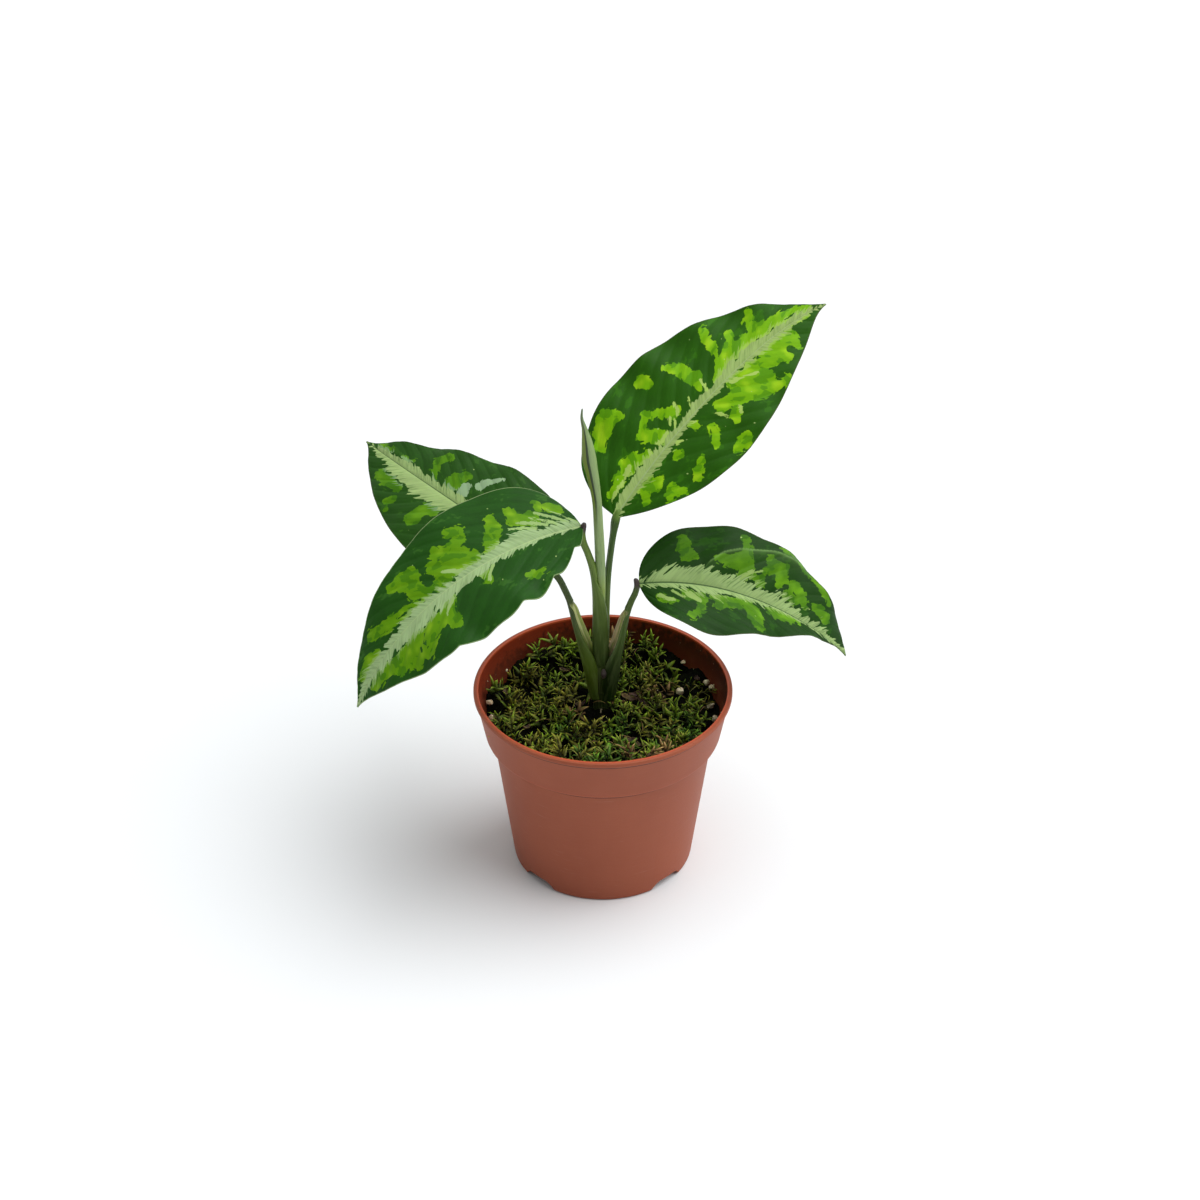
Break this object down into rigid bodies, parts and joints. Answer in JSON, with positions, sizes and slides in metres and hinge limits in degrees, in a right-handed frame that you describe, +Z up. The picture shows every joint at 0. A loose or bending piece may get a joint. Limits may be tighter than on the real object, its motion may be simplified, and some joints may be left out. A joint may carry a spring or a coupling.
{
  "type": "potted chinese evergreen",
  "caption": "Young camouflage-leaved Chinese evergreen in a small round plastic nursery pot topped with moss, with waved patterned blades on slender petioles and a rolled new leaf.",
  "frame": {"origin": "centre of the pot's flat underside, on the pot's axis, level with the surface that it stands on", "axes": "+Z up along the pot's axis; -Y is the pictured front, and +X is to its right"},
  "size_m": [0.198, 0.1319, 0.2246],
  "materials": {
    "pot_plastic": "satin terracotta-coloured moulded plastic with a faint grain",
    "potting_mix": "dark crumbly potting mix",
    "moss": "dense matt moss sprigs, olive to yellow-green",
    "mineral_grain": "rough matt mineral grain",
    "stem": "smooth satin green plant tissue, paler and bluish where it is sheathed",
    "new_leaf": "satin grey-green rolled leaf",
    "leaf_blade": "satin dark green blade with lime blotches and a feathered silver-green band along the midrib"
  },
  "bodies": {
    "root": {"pot": "pot_plastic", "soil": "potting_mix", "moss": "moss", "grain_1": "mineral_grain", "grain_2": "mineral_grain", "grain_3": "mineral_grain", "grain_4": "mineral_grain", "grain_5": "mineral_grain", "cane": "stem", "spear": "new_leaf", "petiole_a": "stem", "leaf_a": "leaf_blade", "petiole_b": "stem", "leaf_b": "leaf_blade", "petiole_c": "stem", "leaf_c": "leaf_blade", "petiole_d": "stem", "leaf_d": "leaf_blade"}
  },
  "joints": []
}
